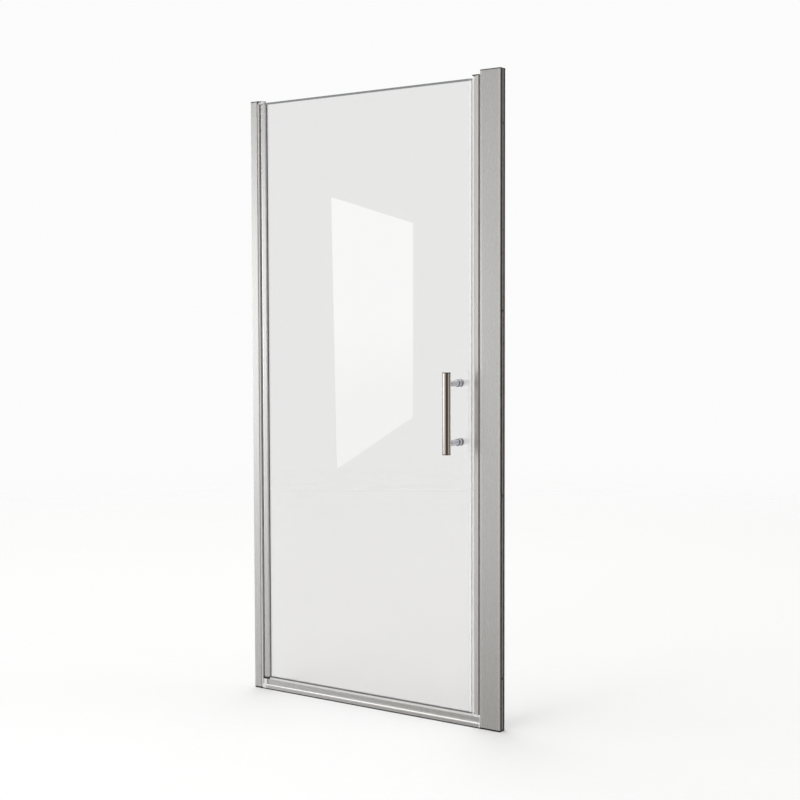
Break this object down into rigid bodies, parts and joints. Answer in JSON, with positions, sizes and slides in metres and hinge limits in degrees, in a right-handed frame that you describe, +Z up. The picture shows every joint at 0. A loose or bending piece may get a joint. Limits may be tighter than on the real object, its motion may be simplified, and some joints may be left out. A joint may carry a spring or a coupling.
{
  "type": "pivot shower door",
  "caption": "Framed pivot shower door: clear glass leaf on a pivot stile between two wall-fixed posts, with a low sill and an upright bar handle.",
  "frame": {"origin": "centre of the underside of the sill, midway between the two wall faces and between the front and back faces of the posts", "axes": "+X from the pivot side to the strike side, +Y into the shower, +Z up; the leaf opens towards -Y"},
  "size_m": [0.9, 0.0974, 1.85],
  "materials": {
    "satin_aluminium": "satin anodised",
    "bright_nylon": "moulded light grey nylon",
    "dark_nylon": "moulded dark nylon",
    "dark_pad": "soft foot pad and base seal",
    "cap_grey": "moulded grey end caps",
    "pivot_steel": "ground stainless steel",
    "screw_steel": "stainless screws",
    "cover_plastic": "light grey caps and screw covers",
    "clear_glass": "clear toughened glass, polished edges",
    "clear_seal": "clear flexible seal profile",
    "magnet_dark": "brown magnet strip",
    "magnet_pale": "off-white magnet strip",
    "gasket_grey": "grey glazing gasket",
    "handle_nickel": "satin nickel",
    "handle_chrome": "polished chrome",
    "clear_plastic": "clear washers and sleeves"
  },
  "bodies": {
    "frame": {"hinge_wall_channel": "satin_aluminium", "hinge_post": "satin_aluminium", "hinge_top_cap": "cap_grey", "hinge_foot_pad": "dark_pad", "upper_pivot_block": "bright_nylon", "upper_pivot_pin": "pivot_steel", "lower_pivot_block": "dark_nylon", "lower_pivot_pin": "pivot_steel", "lower_pivot_washer": "bright_nylon", "strike_wall_channel": "satin_aluminium", "strike_post": "satin_aluminium", "strike_post_cap": "cap_grey", "strike_foot_pad": "dark_pad", "strike_jamb": "satin_aluminium", "strike_jamb_cap": "cap_grey", "strike_jamb_foot": "bright_nylon", "strike_seal": "clear_seal", "strike_magnet": "magnet_dark", "sill_rail": "satin_aluminium", "sill_end_block_left": "bright_nylon", "sill_end_block_right": "bright_nylon", "sill_screws": "screw_steel", "sill_base_seal": "dark_pad", "hinge_fixing_screws": "screw_steel", "upper_block_screws": "screw_steel", "strike_fixing_screws": "screw_steel", "jamb_fixing_screws": "screw_steel", "screw_cover_caps": "cover_plastic"},
    "door": {"door_glass": "clear_glass", "pivot_stile": "satin_aluminium", "stile_gasket": "gasket_grey", "upper_pivot_bush": "dark_nylon", "lower_pivot_bush": "dark_nylon", "door_seal": "clear_seal", "door_magnet": "magnet_pale", "drip_seal": "clear_seal", "handle_bar": "handle_nickel", "handle_end_plugs": "handle_nickel", "handle_standoffs": "handle_chrome", "handle_collars": "handle_chrome", "handle_washers": "clear_plastic", "handle_sleeves": "clear_plastic", "handle_bolts": "screw_steel", "handle_inner_caps": "cover_plastic"}
  },
  "joints": [
    {"name": "door_pivot", "type": "hinge", "parent": "frame", "child": "door", "pos_m": [-0.4105, 0, 0.93], "axis": [0, 0, -1], "range_deg": [0, 90]}
  ]
}
